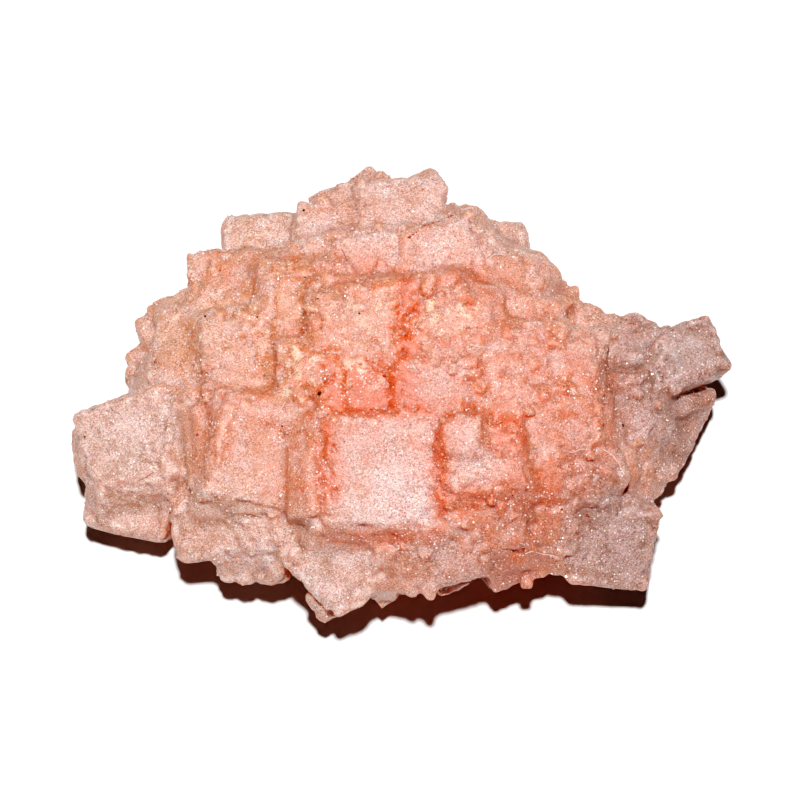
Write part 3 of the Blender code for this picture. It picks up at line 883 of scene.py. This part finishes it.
def sugary(number):
    """How thickly sugar grew at this point: in seams, on worn edges, and in drifts."""
    spot = place[number]
    wave = noise.noise(Vector(spot) / DRIFT_SIZE + Vector((2, 2, 9)))
    drift = max(0.0, wave * DRIFT_SHARE - DRIFT_LESS)
    beside = LEAST_SHARE + drift + SEAM_SHARE * near_seam[number]
    return min(1.0, beside + RIM_SHARE * near_rim[number])


near_seam = np.array([math.exp(-seams.find(spot)[2] / SUGAR_SEAM) for spot in spots])
near_rim = np.array([math.exp(-rims.find(spot)[2] / SUGAR_RIM) for spot in spots])
thickness = np.array([sugary(number) for number in range(len(spots))])
store(skin, "sugary", thickness)
skin_area = sum(face.area for face in skin.data.polygons)
scatter = Scatter("sugar_scatter", "GeometryNodeMeshCube")
sugar = scatter.grow(
    "salt_sugar",
    Most_per_square_metre=SUGAR_GRAINS / skin_area / thickness.mean(),
    Least_size=SUGAR_SIZE[0],
    Most_size=SUGAR_SIZE[1],
    Seed=7,
    Finish=crumb.material,
)
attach(sugar, "root")


# Grit: chips of dark rock and iron rust that blew onto the brine and stuck. Each is a rough
# lump a fraction of a millimetre across, half sunk in the salt.
BLACK_GRIT = [  # place (mm) and width (mm)
    (-14.4, 27.0, 0.42),
    (-13.9, 14.9, 0.45),
    (-11.6, -3.5, 0.85),
    (-28.6, 9.4, 0.40),
    (-20.9, 9.0, 0.30),
    (-31.9, 5.7, 0.28),
    (-46.6, -7.0, 0.34),
    (32.8, -5.8, 0.50),
    (29.3, 7.0, 0.36),
    (-5.9, 8.1, 0.30),
    (-17.1, -7.6, 0.36),
    (-11.9, 10.4, 0.28),
    (-8.0, -11.0, 0.26),
]
RED_GRIT = [  # the same
    (-29.5, -8.3, 0.50),
    (-34.2, -15.4, 0.40),
    (-34.2, -16.2, 0.36),
    (-33.8, -18.3, 0.40),
    (27.4, -19.4, 0.50),
    (23.5, -19.1, 0.45),
    (17.9, -24.8, 0.75),
    (-2.2, -0.9, 0.60),
    (-26.8, 17.8, 0.32),
    (-36.3, 3.9, 0.36),
    (1.4, 20.7, 0.50),
    (5.5, -15.8, 0.34),
]
RED_CRACK = [(1.2, 20.7), (2.2, 21.3), (3.5, 22.6), (5.0, 23.4), (6.7, 24.2), (8.1, 24.8)]
CRACK_GRAINS = 5  # in each stretch of the crack
CRACK_SINK = 0.05  # how deep they sit in it (mm)
CRACK_SIZE = (0.18, 0.40)
STRAY_GRIT = 150  # the finer grains that lie all over, most of them in the seams
STRAY_SIZE = (0.10, 0.26)
STRAY_ANYWHERE = 0.15  # how likely one is to lie away from any seam, against 1 in a seam
STRAY_BLACK = 0.4
STRAY_FROM = 2 * MM
BLACK_TINTS = ((0.035, 0.012, 0.010, 1), (0.10, 0.035, 0.025, 1))
RUST_TINTS = ((0.28, 0.020, 0.010, 1), (0.42, 0.070, 0.030, 1))


def on_skin(x, y, lift=0.0):
    """The point of the skin under this place, which is given as the patches are (mm)."""
    start = Vector((x + PATCHES_FROM[0], y + PATCHES_FROM[1], 100)) * MM
    return surface.ray_cast(start, DOWN)[0] + Vector((0, 0, lift * MM))


def grit_piece(name, grains, tints):
    """One mesh of rough grains, each a squashed ball with its corners moved."""
    bm = bmesh.new()
    for spot, width in grains:
        made = bmesh.ops.create_icosphere(bm, subdivisions=1, radius=width * MM / 2)
        stretch = Vector([chance.uniform(0.65, 1.25) for _ in range(3)])
        turn = Euler([chance.uniform(0, 6) for _ in range(3)]).to_matrix()
        for vert in made["verts"]:
            rough = 1 + chance.uniform(-0.15, 0.15)
            vert.co = spot + turn @ (vert.co * stretch * rough)
    mesh = bpy.data.meshes.new(name)
    bm.to_mesh(mesh)
    bm.free()
    obj = bpy.data.objects.new(name, mesh)
    bpy.context.scene.collection.objects.link(obj)
    finish = Finish(name)
    cell = finish.between(finish.noise(0.2, 2, 0.6), 0.35, 0.65)
    finish.colour(finish.mix(cell, *tints))
    finish.surface.inputs["Roughness"].default_value = 0.6
    mesh.materials.append(finish.material)
    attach(obj, "root")


black = [(on_skin(x, y), width) for x, y, width in BLACK_GRIT]
red = [(on_skin(x, y), width) for x, y, width in RED_GRIT]
for (x0, y0), (x1, y1) in zip(RED_CRACK, RED_CRACK[1:]):
    for step in range(CRACK_GRAINS):
        share = (step + chance.uniform(-0.4, 0.4)) / CRACK_GRAINS
        x, y = x0 + (x1 - x0) * share, y0 + (y1 - y0) * share
        red.append((on_skin(x, y, -CRACK_SINK), chance.uniform(*CRACK_SIZE)))
strays = chance.choices(range(len(spots)), STRAY_ANYWHERE + near_seam, k=STRAY_GRIT)
for stray in strays:
    grains = black if chance.random() < STRAY_BLACK else red
    if spots[stray].z > STRAY_FROM:
        grains.append((spots[stray], chance.uniform(*STRAY_SIZE)))
grit_piece("black_grit", black, BLACK_TINTS)
grit_piece("rust_grit", red, RUST_TINTS)


# Lint: short fibres of cloth and a few dark hairs that the rough salt has caught. Each is a thin
# thread that lies along the skin and bows a little off it between the points where it holds.
PALE_LINT = [  # the points that each fibre passes (mm), with a height where it hangs free
    [(10.9, -27.0, 14.6), (11.3, -27.5, 14.2), (12.1, -27.9, 13.0), (12.9, -28.7, 11.0)],
    [(29.5, -10.9), (30.8, -11.5), (31.6, -12.4), (32.1, -13.1), (32.6, -14.1)],
    [(24.6, -2.4), (25.2, -2.7), (25.6, -3.2)],
    [(18.2, -25.3), (19.2, -25.0), (20.8, -25.1), (22.1, -25.1), (23.2, -25.5)],
    [(24.5, -11.4), (25.2, -11.4), (26.1, -11.0)],
    [(10.3, 3.5), (11.6, 3.1), (13.0, 3.3), (14.2, 4.0)],
    [(-18.6, -6.4), (-17.4, -5.6), (-16.6, -4.2)],
    [(12.6, 17.2), (13.8, 18.4), (15.2, 18.6)],
    [(-30.4, 8.6), (-29.2, 9.8), (-27.6, 10.0)],
]
DARK_HAIR = [  # the same
    [(-20.0, 23.0), (-20.1, 22.1)],
    [(-8.6, 19.2), (-8.1, 18.2), (-7.8, 17.2)],
    [(23.2, -2.6), (23.8, -2.5), (24.2, -2.2)],
    [(-17.4, -8.1), (-16.8, -8.8), (-16.1, -8.9)],
    [(-38.6, -13.8), (-37.6, -13.4), (-36.2, -12.6)],
    [(-43.4, -8.8), (-43.0, -9.4), (-42.8, -10.0)],
    [(-17.1, 22.7), (-16.5, 21.7)],
]
LINT_WIDTH = 0.10 * MM
HAIR_WIDTH = 0.08 * MM
LINT_LIFT = 0.10  # how far a fibre stands off the salt (mm), and twice that where it bows
LINT_TINTS = ((0.80, 0.56, 0.48, 1), (0.92, 0.80, 0.76, 1))
HAIR_TINTS = ((0.10, 0.040, 0.030, 1), (0.22, 0.10, 0.07, 1))


def held_at(point):
    """Where a fibre is held: just off the skin, or at its own height where it hangs free."""
    return Vector(point) * MM if len(point) == 3 else on_skin(*point, LINT_LIFT)


def lint_piece(name, fibres, tints, width):
    """One mesh of thin threads, each swept along its own smooth curve."""
    curve = bpy.data.curves.new(name, "CURVE")
    curve.dimensions = "3D"
    curve.bevel_depth = width / 2
    curve.bevel_resolution = 1
    curve.use_fill_caps = True
    for fibre in fibres:
        thread = curve.splines.new("NURBS")
        thread.points.add(len(fibre) * 2 - 2)
        held = [held_at(point) for point in fibre]
        for number, point in enumerate(thread.points):
            before, after = held[number // 2], held[min(number // 2 + number % 2, len(held) - 1)]
            middle = (before + after) / 2 + Vector((0, 0, number % 2 * LINT_LIFT * MM))
            point.co = (*middle, 1)
        thread.order_u = 3
        thread.resolution_u = 4
        thread.use_endpoint_u = True
    swept = bpy.data.objects.new(name + "_curve", curve)
    bpy.context.scene.collection.objects.link(swept)
    graph = bpy.context.evaluated_depsgraph_get()
    mesh = bpy.data.meshes.new_from_object(swept.evaluated_get(graph))
    bpy.data.objects.remove(swept)
    obj = bpy.data.objects.new(name, mesh)
    bpy.context.scene.collection.objects.link(obj)
    finish = Finish(name)
    worn_tint = finish.between(finish.noise(0.8, 2, 0.5), 0.3, 0.7)
    finish.colour(finish.mix(worn_tint, *tints))
    finish.surface.inputs["Roughness"].default_value = 0.5
    mesh.materials.clear()
    mesh.materials.append(finish.material)
    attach(obj, "root")


lint_piece("pale_lint", PALE_LINT, LINT_TINTS, LINT_WIDTH)
lint_piece("dark_hair", DARK_HAIR, HAIR_TINTS, HAIR_WIDTH)


# The table: a white sheet that carries the lump and runs on past the edge of the view.
TABLE_WIDTH = 3.0
TABLE_GAP = 0.02 * MM  # so that the foot of the lump and the sheet don't fight

bpy.ops.mesh.primitive_plane_add(size=TABLE_WIDTH, location=(0, 0, -TABLE_GAP))
table = bpy.context.object
table.name = "white_table"
paper = Finish("white_paper")
paper.colour((0.86, 0.86, 0.86, 1))
paper.surface.inputs["Roughness"].default_value = 0.9
paper.surface.inputs["Specular IOR Level"].default_value = 0.1
table.data.materials.append(paper.material)


# Light and camera: one lamp straight over the table, a faint pale sky, and a lens that looks
# steeply down on the lump.
LAMP_PLACE = (0, -0.025, 0.7)
LAMP_WIDTH = 0.035
LAMP_POWER = 6.8
SKY = 0.01
LOOK_AT = Vector((-0.40, -0.52, 14)) * MM
LOOK_DOWN = math.radians(75)
DISTANCE = 0.45
LENS_LENGTH = 135  # in millimetres, as is the width of its film
FILM_WIDTH = 36
NEAREST = 0.01
FILM_CURVE = ((0.05, 0.008), (0.11, 0.06), (0.20, 0.17), (0.34, 0.34))  # light, and how it shows

lamp_data = bpy.data.lights.new("lamp", "AREA")
lamp_data.shape = "DISK"
lamp_data.size = LAMP_WIDTH
lamp_data.energy = LAMP_POWER
lamp = bpy.data.objects.new("lamp", lamp_data)
lamp.location = LAMP_PLACE
bpy.context.scene.collection.objects.link(lamp)
world = bpy.data.worlds.new("sky")
bpy.context.scene.world = world
world.use_nodes = True
world.node_tree.nodes["Background"].inputs["Color"].default_value = (1, 1, 1, 1)
world.node_tree.nodes["Background"].inputs["Strength"].default_value = SKY

lens = bpy.data.cameras.new("view")
lens.lens = LENS_LENGTH
lens.sensor_width = FILM_WIDTH
lens.clip_start = NEAREST
camera = bpy.data.objects.new("view", lens)
away = Vector((0, -math.cos(LOOK_DOWN), math.sin(LOOK_DOWN)))
camera.location = LOOK_AT + away * DISTANCE
camera.rotation_euler = away.to_track_quat("Z", "Y").to_euler()
bpy.context.scene.collection.objects.link(camera)
bpy.context.scene.camera = camera

film = bpy.context.scene.view_settings
film.view_transform = "Standard"
film.use_curve_mapping = True
for light, shown in FILM_CURVE:
    film.curve_mapping.curves[3].points.new(light, shown)
film.curve_mapping.update()
